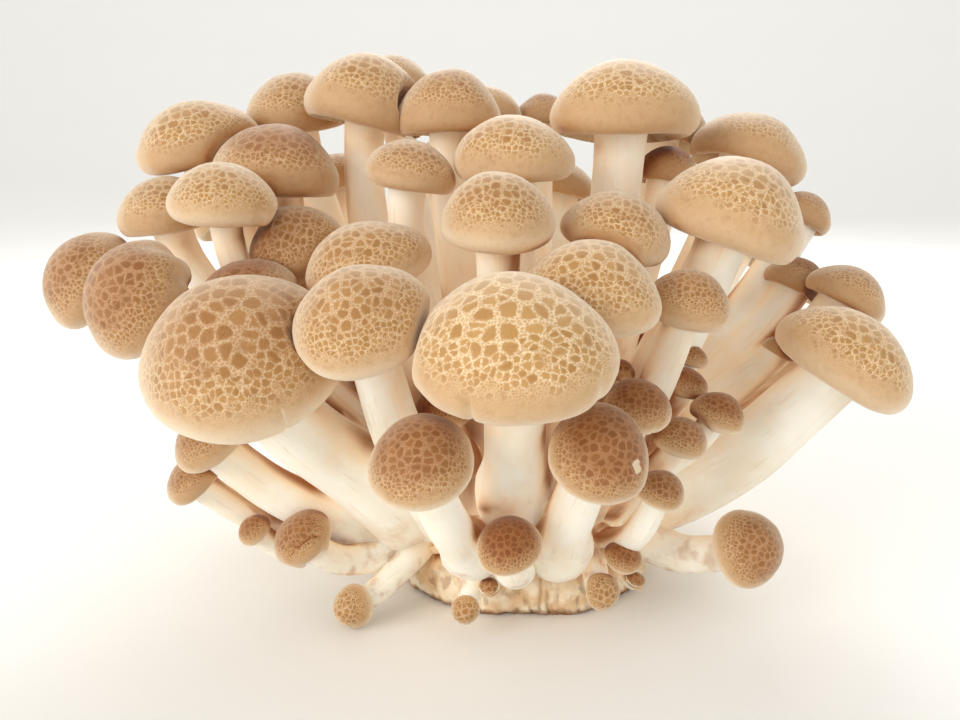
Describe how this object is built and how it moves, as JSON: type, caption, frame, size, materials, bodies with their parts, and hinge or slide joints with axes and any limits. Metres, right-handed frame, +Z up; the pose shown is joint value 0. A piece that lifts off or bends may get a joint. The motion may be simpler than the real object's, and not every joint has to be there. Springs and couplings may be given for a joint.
{
  "type": "beech mushroom cluster",
  "caption": "Cluster of small brown-capped mushrooms on cream stems that fan out from one low cut base, which it stands on.",
  "frame": {"origin": "middle of the cut base's flat underside, on the surface it stands on", "axes": "+Z up; -Y towards the pictured front; +X to the right seen from the front"},
  "size_m": [0.1457, 0.1232, 0.0949],
  "materials": {
    "cap": "soft satin brown skin with a pale net over darker patches, finer towards a beige margin",
    "stem": "smooth moist cream flesh with faint streaks along the stem",
    "base": "rough mottled tan cut foot"
  },
  "bodies": {
    "root": {"base": "base", "stems": "stem", "cap_01": "cap", "cap_02": "cap", "cap_03": "cap", "cap_04": "cap", "cap_05": "cap", "cap_06": "cap", "cap_07": "cap", "cap_08": "cap", "cap_09": "cap", "cap_10": "cap", "cap_11": "cap", "cap_12": "cap", "cap_13": "cap", "cap_14": "cap", "cap_15": "cap", "cap_16": "cap", "cap_17": "cap", "cap_18": "cap", "cap_19": "cap", "cap_20": "cap", "cap_21": "cap", "cap_22": "cap", "cap_23": "cap", "cap_24": "cap", "cap_25": "cap", "cap_26": "cap", "cap_27": "cap", "cap_28": "cap", "cap_29": "cap", "cap_30": "cap", "cap_31": "cap", "cap_32": "cap", "cap_33": "cap", "cap_34": "cap", "cap_35": "cap", "cap_36": "cap", "cap_37": "cap", "cap_38": "cap", "cap_39": "cap", "cap_40": "cap", "cap_41": "cap", "cap_42": "cap", "cap_43": "cap", "cap_44": "cap", "cap_45": "cap", "cap_46": "cap", "cap_47": "cap", "cap_48": "cap", "cap_49": "cap", "cap_50": "cap", "cap_51": "cap", "cap_52": "cap", "cap_53": "cap", "cap_54": "cap", "cap_55": "cap", "cap_56": "cap", "cap_57": "cap", "cap_58": "cap"}
  },
  "joints": []
}
